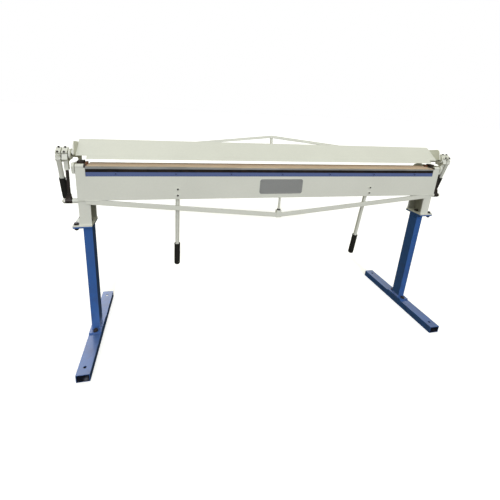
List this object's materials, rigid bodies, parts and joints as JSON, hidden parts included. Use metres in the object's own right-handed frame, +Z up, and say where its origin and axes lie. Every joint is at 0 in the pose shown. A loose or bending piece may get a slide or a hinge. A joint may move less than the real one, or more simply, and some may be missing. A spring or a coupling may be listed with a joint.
{
  "type": "sheet metal brake",
  "caption": "Floor-standing straight hand brake: a long bed, a hinged clamping leaf shut by end cranks, and a truss-braced bending leaf with pull handles.",
  "frame": {"origin": "on the floor, midway between the two feet and midway along them", "axes": "+X along the bed to the right as seen from the working side, +Y from the working side to the back, +Z up"},
  "size_m": [2.1175, 0.61, 1.0788],
  "materials": {
    "blue_paint": "gloss enamel",
    "cream_paint": "semi-gloss enamel",
    "bed_steel": "ground, oiled, lightly browned",
    "bar_steel": "dark scale below, ground bright along the top",
    "packing_blue": "thin blue-grey paint",
    "black_steel": "black oxide",
    "bare_steel": "bare, slightly rusted",
    "tube_steel": "bright drawn",
    "fastener": "zinc plated",
    "grip_rubber": "matt",
    "plain_plate": "plain, satin"
  },
  "bodies": {
    "stand": {"left_foot": "blue_paint", "right_foot": "blue_paint", "left_post": "blue_paint", "right_post": "blue_paint", "base_bolts": "black_steel", "left_column": "cream_paint", "right_column": "cream_paint", "flange_bolts": "black_steel", "flange_nuts": "black_steel", "bed_beam": "cream_paint", "bed_top_plate": "bed_steel", "left_end_plate": "cream_paint", "right_end_plate": "cream_paint", "end_plate_screws": "fastener", "hinge_pins": "black_steel", "heel_pins": "black_steel", "link_studs": "tube_steel", "stop_blocks": "black_steel", "leaf_buffers": "bare_steel"},
    "bending_leaf": {"apron_plate": "cream_paint", "left_hinge_barrel": "cream_paint", "right_hinge_barrel": "cream_paint", "packing_bar": "packing_blue", "bending_bar": "bar_steel", "bar_screws": "packing_blue", "apron_stiffener": "cream_paint", "apron_truss": "cream_paint", "apron_truss_stud": "cream_paint", "left_apron_handle": "cream_paint", "right_apron_handle": "cream_paint", "left_apron_grip": "grip_rubber", "right_apron_grip": "grip_rubber", "apron_handle_blocks": "cream_paint", "handle_screws": "cream_paint", "name_plate": "plain_plate", "name_plate_screws": "fastener"},
    "clamp_leaf": {"leaf_face": "cream_paint", "leaf_base": "cream_paint", "nose_bar": "cream_paint", "left_cheek": "cream_paint", "right_cheek": "cream_paint", "leaf_ribs": "cream_paint", "leaf_truss": "cream_paint", "leaf_truss_post": "cream_paint", "left_leaf_arm": "cream_paint", "right_leaf_arm": "cream_paint"},
    "left_clamp_handle": {"left_crank_shaft": "black_steel", "left_clamp_handle": "cream_paint", "left_hub_bolts": "black_steel", "left_clamp_grip": "grip_rubber"},
    "left_link": {"left_link_head": "cream_paint", "left_link_bolts": "black_steel", "left_link_rod": "black_steel"},
    "right_clamp_handle": {"right_crank_shaft": "black_steel", "right_clamp_handle": "cream_paint", "right_hub_bolts": "black_steel", "right_clamp_grip": "grip_rubber"},
    "right_link": {"right_link_head": "cream_paint", "right_link_bolts": "black_steel", "right_link_rod": "black_steel"}
  },
  "joints": [
    {"name": "bending_leaf_hinge", "type": "hinge", "parent": "stand", "child": "bending_leaf", "pos_m": [0, -0.054, 0.938], "axis": [-1, 0, 0], "range_deg": [0, 135]},
    {"name": "clamp_leaf_hinge", "type": "hinge", "parent": "stand", "child": "clamp_leaf", "pos_m": [0, 0.105, 0.9055], "axis": [1, 0, 0], "range_deg": [0, 10.91]},
    {"name": "left_crank_turn", "type": "hinge", "parent": "clamp_leaf", "child": "left_clamp_handle", "pos_m": [-1.045, -0.02698, 0.98797], "axis": [1, 0, 0], "range_deg": [0, 150.1]},
    {"name": "left_link_swing", "type": "hinge", "parent": "stand", "child": "left_link", "pos_m": [-1.019, -0.035, 0.77], "axis": [1, 0, 0], "range_deg": [0, 2.2]},
    {"name": "right_crank_turn", "type": "hinge", "parent": "clamp_leaf", "child": "right_clamp_handle", "pos_m": [1.045, -0.02698, 0.98797], "axis": [1, 0, 0], "range_deg": [0, 150.1]},
    {"name": "right_link_swing", "type": "hinge", "parent": "stand", "child": "right_link", "pos_m": [1.019, -0.035, 0.77], "axis": [1, 0, 0], "range_deg": [0, 2.2]}
  ],
  "couplings": [
    {"joint": "left_crank_turn", "follows": "clamp_leaf_hinge", "ratio": 13.75},
    {"joint": "left_link_swing", "follows": "clamp_leaf_hinge", "ratio": 0.1975},
    {"joint": "right_crank_turn", "follows": "clamp_leaf_hinge", "ratio": 13.75},
    {"joint": "right_link_swing", "follows": "clamp_leaf_hinge", "ratio": 0.1975}
  ]
}
